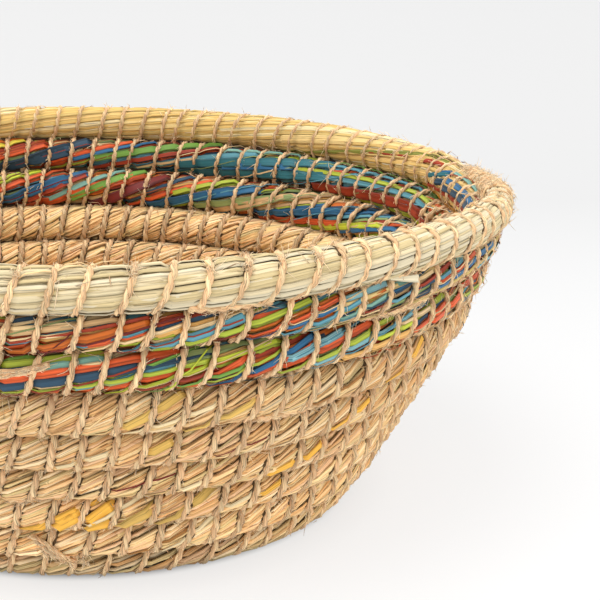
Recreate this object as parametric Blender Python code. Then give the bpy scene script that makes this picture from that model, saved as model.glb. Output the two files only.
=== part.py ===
"""Coiled basket bowl, modelled as it is made.

One long bundle of grass is wound round a start knot into a flat floor and then up a flaring wall.
Each course is sewn to the one before it with jute twine, and the end of the bundle is whipped.
Metres, +Z up. The origin lies on the floor, under the start knot.
"""

import math

import bmesh
import bpy
from mathutils import Vector

# The bowl's shape, in metres and degrees, at the middle of the bundle

RIM_RADIUS = 0.130
RIM_RISE = 0.096
RIM_LEAN = 20.0
FOOT_LEAN = 33.0
FOOT_BEND = 0.008
RIM_END_BEARING = 8.0

# The bundle's thickness in each course, from the rim down, with the gap to the next course

RIM_THICKNESS = 0.0119
DYED_UPPER_THICKNESS = 0.0104
DYED_LOWER_THICKNESS = 0.0157
NATURAL_5_THICKNESS = 0.0145
NATURAL_4_THICKNESS = 0.0130
NATURAL_3_THICKNESS = 0.0124
NATURAL_2_THICKNESS = 0.0132
NATURAL_1_THICKNESS = 0.0140
BASE_THICKNESS = 0.0125
COURSE_GAP = 0.0006
END_GAP = 0.0003
RIM_FADE = 0.8
FLOOR_FLAT_SHARE = 0.1

# The tight start in the middle of the floor

KNOT_RADIUS = 0.0070
KNOT_GAP = 0.0005
START_TAPER_RADIUS = 0.025

# The twine in the seams, and the whipping on the bundle's end

SEAM_TWINE_RADIUS = 0.0010
SEAM_TWINE_GAP = 0.0003
WHIP_TWINE_RADIUS = 0.0009
WHIP_TWINE_GAP = 0.0003
WHIP_LOOPS = 16
WHIP_PITCH = 0.0026
WHIP_START = 0.0012
WHIP_SHOULDER = 0.0012
BUNDLE_TIP_RADIUS = 0.0010
BUNDLE_WHIPPED_RADIUS = 0.0036

# How the forms are drawn

POINTS_PER_TURN = 24
RIM_END_STEPS = 6
WHIP_LOOP_POINTS = 8
KNOT_SEGMENTS = 16
KNOT_RINGS = 8
BISECTION_STEPS = 40
MILLIMETRE = 0.001
SIXTH = math.radians(60.0)
FLAT_SHARE = math.cos(SIXTH / 2)

# The wall's courses, each one turn, from the rim down

COURSES = {
    "rim_course": RIM_THICKNESS,
    "dyed_course_upper": DYED_UPPER_THICKNESS,
    "dyed_course_lower": DYED_LOWER_THICKNESS,
    "natural_course_5": NATURAL_5_THICKNESS,
    "natural_course_4": NATURAL_4_THICKNESS,
    "natural_course_3": NATURAL_3_THICKNESS,
    "natural_course_2": NATURAL_2_THICKNESS,
    "natural_course_1": NATURAL_1_THICKNESS,
}


# The wall's face, from the end of the rim course down to the floor and in to the middle

def wall_arc():
    """Radius of the wall's long arc, and its length."""
    top = math.radians(RIM_LEAN)
    foot = math.radians(FOOT_LEAN)
    drop = RIM_RISE - FOOT_BEND * (1.0 - math.sin(foot))
    radius = drop / (math.sin(foot) - math.sin(top))
    return radius, radius * (foot - top)


def lean_at(slope):
    """Angle between the wall's face and upright, at a distance down the face."""
    radius, length = wall_arc()
    if slope <= length:
        return math.radians(RIM_LEAN) + slope / radius
    return min(math.radians(FOOT_LEAN) + (slope - length) / FOOT_BEND, math.pi / 2)


def face_point(slope):
    """Distance from the bowl's axis, and height over the middle of the floor's courses."""
    radius, length = wall_arc()
    top = math.radians(RIM_LEAN)
    foot = math.radians(FOOT_LEAN)
    wall_lean = top + min(slope, length) / radius
    inward = radius * (math.cos(top) - math.cos(wall_lean))
    down = radius * (math.sin(wall_lean) - math.sin(top))
    bend_length = FOOT_BEND * (math.pi / 2 - foot)
    bend_lean = foot + min(max(slope - length, 0.0), bend_length) / FOOT_BEND
    inward += FOOT_BEND * (math.cos(foot) - math.cos(bend_lean))
    down += FOOT_BEND * (math.sin(bend_lean) - math.sin(foot))
    inward += max(slope - length - bend_length, 0.0)
    return Vector((RIM_RADIUS - inward, RIM_RISE - down))


# The bundle's size, at a place counted in turns down from its end at the rim

def turn_length():
    return 2 * math.pi * RIM_RADIUS


def whip_length():
    """Length of bundle that the whipping covers."""
    return WHIP_START + WHIP_LOOPS * WHIP_PITCH


def thickness_at(turn):
    """Course to course, changing evenly from one course into the next."""
    courses = [*COURSES.values(), BASE_THICKNESS]
    knots = [(0.0, RIM_THICKNESS), (RIM_FADE, RIM_THICKNESS)]
    for number in range(1, len(courses)):
        knots.append((float(number), (courses[number - 1] + courses[number]) / 2))
    knots.append((float(len(courses)), BASE_THICKNESS))
    for (start, low), (end, high) in zip(knots, knots[1:]):
        if start <= turn <= end:
            return low + (high - low) * (turn - start) / (end - start)
    return BASE_THICKNESS


def full_radius(turn, slope):
    """Corner radius of the six-sided bundle, which starts thin in the middle of the floor."""
    taper = min(face_point(slope).x / START_TAPER_RADIUS, 1.0)
    return (thickness_at(turn) * taper - COURSE_GAP) / 2 / FLAT_SHARE


def taper_length():
    """Length of the thin bundle, which ends clear of the whipping's last loop."""
    return whip_length() + 2 * WHIP_TWINE_RADIUS


def whipped_radius(distance):
    """Corner radius of the bundle under the whipping, at a distance from the bundle's end."""
    share = min(distance / taper_length(), 1.0)
    return BUNDLE_TIP_RADIUS + (BUNDLE_WHIPPED_RADIUS - BUNDLE_TIP_RADIUS) * share


def whip_loop_radius(distance):
    """Radius of the whipping's middle line, whose straight steps clear the bundle's corners."""
    clear = whipped_radius(distance) + WHIP_TWINE_GAP + WHIP_TWINE_RADIUS
    return clear / math.cos(math.pi / WHIP_LOOP_POINTS)


def reach_towards(turn, slope, direction):
    """How far the bundle and its whipping reach from the middle line, on the upright plane."""
    distance = turn * turn_length()
    if distance < taper_length() + WHIP_SHOULDER:
        return whip_loop_radius(distance) + WHIP_TWINE_RADIUS
    from_flat = (direction - lean_at(slope)) % SIXTH
    return full_radius(turn, slope) * math.cos(from_flat - SIXTH / 2)


# The spiral: each place lies against the place one turn above it

def direction_between(above, below):
    """Angle from upright of the line from one point of the face up to another."""
    step = above - below
    return math.atan2(step.x, step.y)


def place_below(turn, slope):
    """Distance down the face of the place one turn below the given one."""
    above = face_point(slope)
    low = slope
    high = slope + 2 * (thickness_at(turn) + thickness_at(turn + 1.0))
    for _ in range(BISECTION_STEPS):
        middle = (low + high) / 2
        below = face_point(middle)
        direction = direction_between(above, below)
        needed = reach_towards(turn, slope, direction) + COURSE_GAP
        needed += reach_towards(turn + 1.0, middle, direction)
        if (above - below).length < needed:
            low = middle
        else:
            high = middle
    return (low + high) / 2


def wind_bundle():
    """Turns and distances down the face, from the rim's end to the start knot."""
    first_drop = place_below(0.0, 0.0)
    turns = [(number + 0.5) / POINTS_PER_TURN for number in range(POINTS_PER_TURN)]
    slopes = [first_drop * turn for turn in turns]
    while True:
        turn = turns[-POINTS_PER_TURN]
        slope = place_below(turn, slopes[-POINTS_PER_TURN])
        inner = face_point(slope).x - full_radius(turn + 1.0, slope) * FLAT_SHARE
        if inner < KNOT_RADIUS + KNOT_GAP:
            return turns, slopes
        turns.append(turn + 1.0)
        slopes.append(slope)


def floor_radius():
    """Corner radius of the bundle in the floor."""
    return (BASE_THICKNESS - COURSE_GAP) / 2 / FLAT_SHARE


def floor_height():
    """Height of the middle of the floor's courses, which are cut flat underneath."""
    return floor_radius() * (1.0 - 2 * FLOOR_FLAT_SHARE)


def place(turn, spot):
    """The point of the bowl at a place of the upright plane, turned to its bearing."""
    bearing = math.radians(RIM_END_BEARING) - 2 * math.pi * turn
    height = spot.y + floor_height()
    return Vector((spot.x * math.cos(bearing), spot.x * math.sin(bearing), height))


def outward(slope):
    """The direction square out of the wall's face, on the upright plane."""
    lean = lean_at(slope)
    return Vector((math.cos(lean), -math.sin(lean)))


def upward(slope):
    """The direction up along the wall's face, on the upright plane."""
    lean = lean_at(slope)
    return Vector((math.sin(lean), math.cos(lean)))


# The twine in a seam lies in the groove between two courses, on the bowl's inside

def clear_of_bundle(spot, middle, radius, lean):
    """Distance of a spot from the nearest side of the six-sided bundle."""
    apart = spot - middle
    sides = [SIXTH * (number + 0.5) - lean for number in range(6)]
    return max(apart.x * math.cos(side) + apart.y * math.sin(side) for side in sides) - radius * FLAT_SHARE


def groove_spot(turn, slope, slope_below):
    """Where the seam's twine lies against both courses, at a turn of the upper one."""
    above = face_point(slope)
    below = face_point(slope_below)
    direction = direction_between(above, below)
    down = (below - above).normalized()
    across = Vector((-math.cos(direction), math.sin(direction)))
    start = above + down * (reach_towards(turn, slope, direction) + COURSE_GAP / 2)
    near = 0.0
    far = 2 * full_radius(turn, slope)
    for _ in range(BISECTION_STEPS):
        middle = (near + far) / 2
        spot = start + across * middle
        upper = clear_of_bundle(spot, above, full_radius(turn, slope), lean_at(slope))
        lower = clear_of_bundle(spot, below, full_radius(turn + 1.0, slope_below), lean_at(slope_below))
        if min(upper, lower) < SEAM_TWINE_RADIUS + SEAM_TWINE_GAP:
            near = middle
        else:
            far = middle
    return start + across * far


# Objects

def material(name, colour, roughness):
    new = bpy.data.materials.new(name)
    new.use_nodes = True
    shader = new.node_tree.nodes["Principled BSDF"]
    shader.inputs["Base Color"].default_value = (*colour, 1.0)
    shader.inputs["Roughness"].default_value = roughness
    shader.inputs["Metallic"].default_value = 0.0
    return new


def collection(name):
    new = bpy.data.collections.new(name)
    bpy.context.scene.collection.children.link(new)
    return new


def add_mesh(name, shape, group):
    """An object made from a bmesh, which is freed."""
    mesh = bpy.data.meshes.new(name)
    shape.to_mesh(mesh)
    shape.free()
    new = bpy.data.objects.new(name, mesh)
    group.objects.link(new)
    return new


def tube(name, path, finish, resolution=1, twist="Z_UP"):
    """A cord along a path of points, each with its radius and its roll."""
    curve = bpy.data.curves.new(name, "CURVE")
    curve.dimensions = "3D"
    curve.twist_mode = twist
    curve.bevel_depth = MILLIMETRE
    curve.bevel_resolution = resolution
    curve.use_fill_caps = True
    spline = curve.splines.new("POLY")
    spline.points.add(len(path) - 1)
    for target, (point, radius, roll) in zip(spline.points, path):
        target.co = (*point, 1.0)
        target.radius = radius / MILLIMETRE
        target.tilt = roll
    curve.materials.append(finish)
    new = bpy.data.objects.new(name, curve)
    bowl.objects.link(new)
    return new


def as_mesh(source):
    """The same object as a closed mesh, with its caps welded on."""
    name = source.name
    placed = source.matrix_world.copy()
    evaluated = source.evaluated_get(bpy.context.evaluated_depsgraph_get())
    mesh = bpy.data.meshes.new_from_object(evaluated)
    bpy.data.objects.remove(source)
    shape = bmesh.new()
    shape.from_mesh(mesh)
    bmesh.ops.remove_doubles(shape, verts=shape.verts, dist=MILLIMETRE / 1000)
    shape.to_mesh(mesh)
    shape.free()
    new = bpy.data.objects.new(name, mesh)
    new.matrix_world = placed
    bowl.objects.link(new)
    return new


def cut_flat(target):
    """Trims what reaches below the floor."""
    trim = target.modifiers.new("floor_flat", "BOOLEAN")
    trim.operation = "DIFFERENCE"
    trim.solver = "EXACT"
    trim.object = ground


def stretch(path, first, last):
    """A run of a path, from the middle of the straight step before it to the one after it."""
    run = list(path[first:last + 1])
    for number, at_start in ((first, True), (last + 1, False)):
        if number < 1 or number >= len(path):
            continue
        (start, start_radius, start_roll), (end, end_radius, end_roll) = path[number - 1:number + 1]
        pull = (end - start).normalized() * END_GAP / 2
        point = (start + end) / 2 + (pull if at_start else -pull)
        middle = (point, (start_radius + end_radius) / 2, (start_roll + end_roll) / 2)
        run.insert(0 if at_start else len(run), middle)
    return run


def least_gap(path, share, apart):
    """Least gap between points of one cord that lie at least so many points apart."""
    gap = math.inf
    for first, (point, radius, _) in enumerate(path):
        for other, other_radius, _ in path[first + apart:]:
            gap = min(gap, (other - point).length - (radius + other_radius) * share)
    return gap


for old in list(bpy.data.objects):
    bpy.data.objects.remove(old)

bowl = collection("coiled_basket_bowl")
cutters = collection("cutters")

natural_grass = material("natural_grass", (0.55, 0.38, 0.18), 0.85)
dyed_grass = material("dyed_grass", (0.10, 0.28, 0.32), 0.75)
pale_straw = material("pale_straw", (0.72, 0.62, 0.36), 0.70)
jute_twine = material("jute_twine", (0.60, 0.41, 0.26), 0.90)

# The ground, as a cutter under the bowl

ground_size = 3 * RIM_RADIUS
ground_shape = bmesh.new()
bmesh.ops.create_cube(ground_shape, size=ground_size)
bmesh.ops.translate(ground_shape, verts=ground_shape.verts, vec=(0.0, 0.0, -ground_size / 2))
ground = add_mesh("ground", ground_shape, cutters)
ground.hide_render = True
ground.display_type = "WIRE"

# The start knot, a small ball of grass that the bundle is wound round

knot_shape = bmesh.new()
bmesh.ops.create_uvsphere(knot_shape, u_segments=KNOT_SEGMENTS, v_segments=KNOT_RINGS, radius=1.0)
bmesh.ops.scale(knot_shape, verts=knot_shape.verts, vec=(KNOT_RADIUS, KNOT_RADIUS, floor_radius()))
bmesh.ops.translate(knot_shape, verts=knot_shape.verts, vec=(0.0, 0.0, floor_height()))
start_knot = add_mesh("start_knot", knot_shape, bowl)
start_knot.data.materials.append(natural_grass)
start_knot.data.shade_smooth()
cut_flat(start_knot)

# The bundle, course by course

turns, slopes = wind_bundle()
bundle = []
for turn, slope in zip(turns, slopes):
    bundle.append((place(turn, face_point(slope)), full_radius(turn, slope), -lean_at(slope)))

wall_courses = list(COURSES)


def end_slope(turn):
    """Distance down the face in the first half step, before the spiral's first point."""
    return slopes[0] * turn / turns[0]


def shoulder_turn():
    """Where the bundle reaches its full size behind the whipping."""
    return (taper_length() + WHIP_SHOULDER) / turn_length()


def rim_end_path():
    """The bundle's tip, its whipped taper and the shoulder where it reaches its full size."""
    path = []
    for number in range(RIM_END_STEPS + 1):
        distance = taper_length() * number / RIM_END_STEPS
        turn = distance / turn_length()
        slope = end_slope(turn)
        path.append((place(turn, face_point(slope)), whipped_radius(distance), -lean_at(slope)))
    turn = shoulder_turn()
    slope = end_slope(turn)
    path.append((place(turn, face_point(slope)), full_radius(turn, slope), -lean_at(slope)))
    return path


after_shoulder = next(number for number, turn in enumerate(turns) if turn > shoulder_turn())
tube("rim_course", rim_end_path() + stretch(bundle, after_shoulder, POINTS_PER_TURN - 1)[1:], pale_straw)

for number, name in enumerate(wall_courses[1:], start=1):
    first = number * POINTS_PER_TURN
    finish = dyed_grass if name.startswith("dyed") else natural_grass
    tube(name, stretch(bundle, first, first + POINTS_PER_TURN - 1), finish)

base_first = len(wall_courses) * POINTS_PER_TURN
tube("base_coil", stretch(bundle, base_first, len(bundle) - 1), natural_grass)

for name in (wall_courses[-1], "base_coil"):
    cut_flat(as_mesh(bpy.data.objects[name]))

# The twine that sews each course to the one below it, laid in the seam

seams = []
for number in range(len(bundle) - POINTS_PER_TURN):
    spot = groove_spot(turns[number], slopes[number], slopes[number + POINTS_PER_TURN])
    seams.append((place(turns[number], spot), SEAM_TWINE_RADIUS, -lean_at(slopes[number])))

for number, name in enumerate(wall_courses):
    first = max(number * POINTS_PER_TURN, after_shoulder + 1)
    last = (number + 1) * POINTS_PER_TURN - 1
    twine_name = "twine_" + name.replace("_course", "")
    tube(twine_name, stretch(seams, first, last), jute_twine, resolution=0)
tube("twine_base", stretch(seams, base_first, len(seams) - 1), jute_twine, resolution=0)

# The whipping on the bundle's end, whose twine runs straight where it starts and stops

whip_spots = []
for number in range(WHIP_LOOPS * WHIP_LOOP_POINTS + 1):
    loops = number / WHIP_LOOP_POINTS
    distance = WHIP_START + loops * WHIP_PITCH
    turn = distance / turn_length()
    slope = end_slope(turn)
    round_angle = 2 * math.pi * loops
    spot = face_point(slope)
    spot += outward(slope) * whip_loop_radius(distance) * math.cos(round_angle)
    spot += upward(slope) * whip_loop_radius(distance) * math.sin(round_angle)
    whip_spots.append(place(turn, spot))
straight = 2 * WHIP_TWINE_RADIUS
whip_spots.insert(0, whip_spots[0] + (whip_spots[0] - whip_spots[1]).normalized() * straight)
whip_spots.append(whip_spots[-1] + (whip_spots[-1] - whip_spots[-2]).normalized() * straight)
whipping = [(spot, WHIP_TWINE_RADIUS, 0.0) for spot in whip_spots]
tube("rim_end_whipping", whipping, jute_twine, twist="MINIMUM")

floor_run = bundle[base_first:]
print("base_coil: least gap to itself, mm:",
      round(least_gap(floor_run, FLAT_SHARE, POINTS_PER_TURN // 2) / MILLIMETRE, 3))
print("rim_end_whipping: least gap to itself, mm:",
      round(least_gap(whipping, 1.0, WHIP_LOOP_POINTS // 2) / MILLIMETRE, 3))
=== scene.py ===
"""Looks for the coiled basket bowl, in the order in which a maker builds it up.

A bundle of grass is wound from a start knot into a floor and a flaring wall, and sewn with jute twine.
Metres, +Z up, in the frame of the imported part.
"""

import math

import bmesh
import bpy
import numpy as np
from mathutils import Matrix, Vector


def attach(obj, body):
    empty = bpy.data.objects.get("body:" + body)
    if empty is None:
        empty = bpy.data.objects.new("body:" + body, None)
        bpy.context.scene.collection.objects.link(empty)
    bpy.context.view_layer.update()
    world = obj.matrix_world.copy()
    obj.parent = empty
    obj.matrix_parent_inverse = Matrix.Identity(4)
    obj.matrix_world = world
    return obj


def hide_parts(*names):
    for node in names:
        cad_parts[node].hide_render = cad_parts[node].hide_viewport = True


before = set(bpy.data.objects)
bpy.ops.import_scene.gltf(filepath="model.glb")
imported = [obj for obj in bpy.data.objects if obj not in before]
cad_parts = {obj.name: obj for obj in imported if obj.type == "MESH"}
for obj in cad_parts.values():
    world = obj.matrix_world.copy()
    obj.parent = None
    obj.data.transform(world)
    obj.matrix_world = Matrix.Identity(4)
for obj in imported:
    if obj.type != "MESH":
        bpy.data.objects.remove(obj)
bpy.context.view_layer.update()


# Camera
# It stands half a metre from the middle of the bowl and ten centimetres above the rim, and is aimed to
# the right of the middle, so that the left part runs out of the picture. It was held at a slight tilt.

EYE = Vector((0.0, -0.4933, 0.2033))
YAW = math.radians(7.93)
PITCH = math.radians(16.30)
ROLL = math.radians(1.38)
LENS = 92.88
SENSOR = 36.0
NEAREST = 0.01


def placed(name, data):
    """A new object in the scene."""
    made = bpy.data.objects.new(name, data)
    bpy.context.scene.collection.objects.link(made)
    return made


camera_data = bpy.data.cameras.new("camera")
camera_data.lens = LENS
camera_data.sensor_width = SENSOR
camera_data.clip_start = NEAREST
camera = placed("camera", camera_data)
ahead = Vector((math.sin(YAW) * math.cos(PITCH), math.cos(YAW) * math.cos(PITCH), -math.sin(PITCH)))
level = ahead.cross(Vector((0.0, 0.0, 1.0))).normalized()
above = level.cross(ahead)
rightward = level * math.cos(ROLL) + above * math.sin(ROLL)
upright = above * math.cos(ROLL) - level * math.sin(ROLL)
camera.matrix_world = Matrix.Translation(EYE) @ Matrix((rightward, upright, -ahead)).transposed().to_4x4()
bpy.context.scene.camera = camera


# Studio
# A floor that glows almost white, a little less towards the back, and round the bowl's foot its glow is
# taken away: painted shadow, dark only where the bowl touches. Over it a wide soft light from the upper
# left and an even white room.

FLOOR_SIZE = 12.0
FLOOR_SHADE = 0.20
NEAR_FLOOR = -0.1
NEAR_FLOOR_GLOW = 0.75
FAR_FLOOR = 0.4
FAR_FLOOR_GLOW = 0.535
FOOT_SHADOW = 0.0787
FOOT_SHADOW_END = 0.0868
SOFT_SHADOW = 0.086
SOFT_SHADOW_END = 0.100
SOFT_GLOW = 0.95
ROOM_LIGHT = 1.2
SOFTBOX_SIZE = 2.4
SOFTBOX_POWER = 50.0
SOFTBOX_PLACE = Vector((-1.0, -0.6, 3.0))
SHINE = 0.3

bpy.context.scene.view_settings.view_transform = "Standard"


class Reading:
    """A socket of a material, so that its maths reads as plain sums."""

    def __init__(self, finish, socket):
        self.finish = finish
        self.socket = socket

    def maths(self, operation, first, second=0.0):
        return self.finish.node("ShaderNodeMath", {"operation": operation}, {0: first, 1: second})

    def __add__(self, other):
        return self.maths("ADD", self, other)

    def __sub__(self, other):
        return self.maths("SUBTRACT", self, other)

    def __rsub__(self, other):
        return self.maths("SUBTRACT", other, self)

    def __mul__(self, other):
        return self.maths("MULTIPLY", self, other)

    def __pow__(self, other):
        return self.maths("POWER", self, other)

    def __abs__(self):
        return self.maths("ABSOLUTE", self)

    __radd__ = __add__
    __rmul__ = __mul__


class Finish:
    """One material of the bowl or of the studio."""

    def __init__(self, name, roughness):
        self.material = bpy.data.materials.new(name)
        self.material.use_nodes = True
        self.tree = self.material.node_tree
        self.shader = self.tree.nodes["Principled BSDF"]
        self.shader.inputs["Roughness"].default_value = roughness
        self.shader.inputs["Specular IOR Level"].default_value = SHINE

    def node(self, kind, settings, inputs, output=0):
        """A new node with its settings and inputs, read at one of its outputs."""
        made = self.tree.nodes.new(kind)
        for name, setting in settings.items():
            setattr(made, name, setting)
        for name, value in inputs.items():
            self.feed(made.inputs[name], value)
        return Reading(self, made.outputs[output])

    def feed(self, target, value):
        """An input gets a plain value, or what another node reads."""
        if isinstance(value, Reading):
            self.tree.links.new(value.socket, target)
        else:
            target.default_value = value

    def scaled(self, colour, factor):
        """A colour made lighter or darker."""
        return self.node("ShaderNodeVectorMath", {"operation": "SCALE"}, {0: colour, "Scale": factor})


floor_shape = bmesh.new()
bmesh.ops.create_grid(floor_shape, x_segments=1, y_segments=1, size=FLOOR_SIZE / 2)
floor_mesh = bpy.data.meshes.new("floor")
floor_shape.to_mesh(floor_mesh)
floor_shape.free()
floor = placed("floor", floor_mesh)
floor_finish = Finish("pale_floor", roughness=0.8)
floor_finish.shader.inputs["Base Color"].default_value = (FLOOR_SHADE, FLOOR_SHADE, FLOOR_SHADE, 1.0)
floor_place = floor_finish.node("ShaderNodeTexCoord", {}, {}, "Object")
floor_depth = floor_finish.node("ShaderNodeSeparateXYZ", {}, {0: floor_place}, "Y")
fade = {"Value": floor_depth, "From Min": NEAR_FLOOR, "From Max": FAR_FLOOR,
        "To Min": NEAR_FLOOR_GLOW, "To Max": FAR_FLOOR_GLOW}
measure = {"operation": "LENGTH"}
floor_reach = floor_finish.node("ShaderNodeVectorMath", measure, {0: floor_place}, "Value")
touch = {"Value": floor_reach, "From Min": FOOT_SHADOW, "From Max": FOOT_SHADOW_END}
around = {"Value": floor_reach, "From Min": SOFT_SHADOW, "From Max": SOFT_SHADOW_END, "To Min": SOFT_GLOW}
# The glow is taken away round the foot: painted shadow, dark where the bowl touches and soft round it.
painted_foot_shadow = floor_finish.node("ShaderNodeMapRange", {"interpolation_type": "SMOOTHSTEP"}, touch)
painted_soft_shadow = floor_finish.node("ShaderNodeMapRange", {}, around)
open_glow = floor_finish.node("ShaderNodeMapRange", {}, fade)
glow = floor_finish.scaled((1.0, 1.0, 1.0), open_glow * painted_foot_shadow * painted_soft_shadow)
floor_finish.feed(floor_finish.shader.inputs["Emission Color"], glow)
floor_finish.shader.inputs["Emission Strength"].default_value = 1.0
floor_mesh.materials.append(floor_finish.material)

world = bpy.data.worlds.new("white_room")
world.use_nodes = True
world.node_tree.nodes["Background"].inputs["Color"].default_value = (1.0, 1.0, 1.0, 1.0)
world.node_tree.nodes["Background"].inputs["Strength"].default_value = ROOM_LIGHT
bpy.context.scene.world = world

softbox_data = bpy.data.lights.new("softbox", "AREA")
softbox_data.shape = "DISK"
softbox_data.size = SOFTBOX_SIZE
softbox_data.energy = SOFTBOX_POWER
softbox = placed("softbox", softbox_data)
softbox.location = SOFTBOX_PLACE
softbox.rotation_euler = (-SOFTBOX_PLACE).to_track_quat("-Z", "Y").to_euler()


# The bundle's path
# One bundle of grass winds from the middle of the floor up to its end at the rim. Its path is worked
# out from that end downwards: each course rests against the one above it, down the face of the wall.

RIM_RADIUS = 0.130
RIM_RISE = 0.096
RIM_LEAN = math.radians(20.0)
FOOT_LEAN = math.radians(33.0)
FOOT_BEND = 0.008
RIM_END_BEARING = math.radians(8.0)
FIRST_DROP = 0.00913
FLOOR_MIDDLE = 0.0055
WALL_THICKNESSES = (0.0119, 0.0104, 0.0157, 0.0145, 0.0130, 0.0124, 0.0132, 0.0140)
WALL_COURSES = len(WALL_THICKNESSES)
FLOOR_THICKNESS = 0.0125
RIM_FADE = 0.8
START_TAPER_RADIUS = 0.025
KNOT_RADIUS = 0.0070
KNOT_GAP = 0.0005
STEPS_PER_TURN = 48
LONGEST_STEP = 0.050
HALVINGS = 40
MILLIMETRE = 0.001
TURN = 2 * math.pi

FACE_DROP = RIM_RISE - FOOT_BEND * (1.0 - math.sin(FOOT_LEAN))
FACE_ARC = FACE_DROP / (math.sin(FOOT_LEAN) - math.sin(RIM_LEAN))
FACE_LENGTH = FACE_ARC * (FOOT_LEAN - RIM_LEAN)
BEND_LENGTH = FOOT_BEND * (math.pi / 2 - FOOT_LEAN)


def face(slope):
    """Distance from the axis, height over the floor's courses, and lean, at distances down the wall."""
    wall_lean = RIM_LEAN + np.minimum(slope, FACE_LENGTH) / FACE_ARC
    bend_lean = FOOT_LEAN + np.clip(slope - FACE_LENGTH, 0.0, BEND_LENGTH) / FOOT_BEND
    inward = FACE_ARC * (math.cos(RIM_LEAN) - np.cos(wall_lean))
    inward = inward + FOOT_BEND * (math.cos(FOOT_LEAN) - np.cos(bend_lean))
    inward = inward + np.maximum(slope - FACE_LENGTH - BEND_LENGTH, 0.0)
    down = FACE_ARC * (np.sin(wall_lean) - math.sin(RIM_LEAN))
    down = down + FOOT_BEND * (np.sin(bend_lean) - math.sin(FOOT_LEAN))
    lean = np.where(slope < FACE_LENGTH, wall_lean, bend_lean)
    return RIM_RADIUS - inward, RIM_RISE - down, lean


def thickness(turn, slope):
    """Course to course, changing evenly from one course into the next and thin at the start."""
    courses = [*WALL_THICKNESSES, FLOOR_THICKNESS]
    turns = [0.0, RIM_FADE, *range(1, len(courses)), len(courses)]
    sizes = [courses[0], courses[0]]
    sizes += [(upper + lower) / 2 for upper, lower in zip(courses, courses[1:])]
    sizes += [FLOOR_THICKNESS]
    return np.interp(turn, turns, sizes) * np.minimum(face(slope)[0] / START_TAPER_RADIUS, 1.0)


def wind():
    """Turns and distances down the wall, from the bundle's end to the start knot."""
    turn = np.arange(STEPS_PER_TURN) / STEPS_PER_TURN
    slope = FIRST_DROP * turn
    turns = [turn]
    slopes = [slope]
    while face(slope)[0].min() > KNOT_RADIUS:
        reach, height, _ = face(slope)
        low = slope
        high = slope + LONGEST_STEP
        for _ in range(HALVINGS):
            middle = (low + high) / 2
            middle_reach, middle_height, _ = face(middle)
            apart = np.hypot(middle_reach - reach, middle_height - height)
            needed = (thickness(turn, slope) + thickness(turn + 1.0, middle)) / 2
            low = np.where(apart < needed, middle, low)
            high = np.where(apart < needed, high, middle)
        turn = turn + 1.0
        slope = high
        turns.append(turn)
        slopes.append(slope)
    turns = np.concatenate(turns)
    slopes = np.concatenate(slopes)
    inner = face(slopes)[0] - thickness(turns, slopes) / 2
    kept = inner > KNOT_RADIUS + KNOT_GAP
    return turns[kept], slopes[kept]


TURNS, SLOPES = wind()
STEP_LENGTHS = TURN * face(SLOPES)[0][:-1] * np.diff(TURNS)
ALONG = np.concatenate([[0.0], np.cumsum(STEP_LENGTHS)])
BUNDLE_LENGTH = ALONG[-1]


def along_at(turn):
    """Metres of bundle from its end at the rim down to a place counted in turns."""
    return float(np.interp(turn, TURNS, ALONG))


RIM_LENGTH = along_at(1.0)

# The end of the bundle thins out to a tip, while its underside stays on the course below. The rim
# swells a little at the back, most of all where it comes up from under the tip.

SURFACE_GAP = 0.0004
FULLNESS_TURNS = (0.0, 0.05, 0.10, 0.18, 0.60, 0.72, 0.84, 0.91, 0.95, 0.98, 1.0, 1.02, 1.06)
FULLNESS = (0.42, 0.70, 0.88, 1.0, 1.0, 1.06, 1.10, 1.17, 1.14, 1.20, 1.24, 1.18, 1.0)
SHIFT_TURNS = (0.0, 0.06, 0.14)
SINKS = (0.0020, 0.0016, 0.0)
REACHES = (0.0010, 0.0014, 0.0)


def bundle(along):
    """The bundle's middle, the ways out of the wall and up it, its lean and its radius."""
    turn = np.interp(along, ALONG, TURNS)
    slope = np.interp(turn, TURNS, SLOPES)
    fullness = np.interp(turn, FULLNESS_TURNS, FULLNESS)
    full_radius = thickness(turn, slope) / 2
    slope = slope + (1.0 - fullness) * full_radius + np.interp(turn, SHIFT_TURNS, SINKS)
    reach, height, lean = face(slope)
    reach = reach + np.interp(turn, SHIFT_TURNS, REACHES)
    bearing = RIM_END_BEARING - TURN * turn
    east = np.cos(bearing)
    north = np.sin(bearing)
    middle = np.stack([reach * east, reach * north, height + FLOOR_MIDDLE], axis=1)
    out = np.stack([np.cos(lean) * east, np.cos(lean) * north, -np.sin(lean)], axis=1)
    up = np.stack([np.sin(lean) * east, np.sin(lean) * north, np.cos(lean)], axis=1)
    return middle, out, up, lean, full_radius * fullness - SURFACE_GAP


def outwards(out, up, angles):
    """The way out of the bundle at angles round it."""
    return out * np.cos(angles)[:, None] + up * np.sin(angles)[:, None]


def from_below(angle):
    """An angle round the bundle, counted on from its underside."""
    return (angle + math.pi / 2) % TURN - math.pi / 2


def place(row, bearing):
    """Metres of bundle down to a bearing, in degrees, on one of the courses."""
    return along_at(row + (RIM_END_BEARING - math.radians(bearing)) / TURN % 1.0)


# Stitches: the places of the wraps along the bundle, and how each leans as it goes round.

STITCH_PITCH = 0.0088
STITCH_UNEVEN = 0.0016
MOST_STITCHES = 2000
FIRST_STITCH = 0.040
LAST_STITCH = BUNDLE_LENGTH - 0.004
STITCH_ANGLES = np.radians((-90.0, -75.0, 75.0, 105.0, 255.0, 270.0))
STITCH_SHIFTS = np.array((0.0030, 0.0024, -0.0018, -0.0021, -0.0052, -0.0058))

stitch_chance = np.random.default_rng(11)
stitch_steps = STITCH_PITCH + stitch_chance.uniform(-1.0, 1.0, MOST_STITCHES) * STITCH_UNEVEN
STITCHES = FIRST_STITCH + np.cumsum(stitch_steps)
STITCHES = STITCHES[STITCHES < LAST_STITCH]


def stitch_shift(angle):
    """How far a wrap lies from its middle, at an angle round the bundle."""
    return np.interp(from_below(angle), STITCH_ANGLES, STITCH_SHIFTS)


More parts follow.
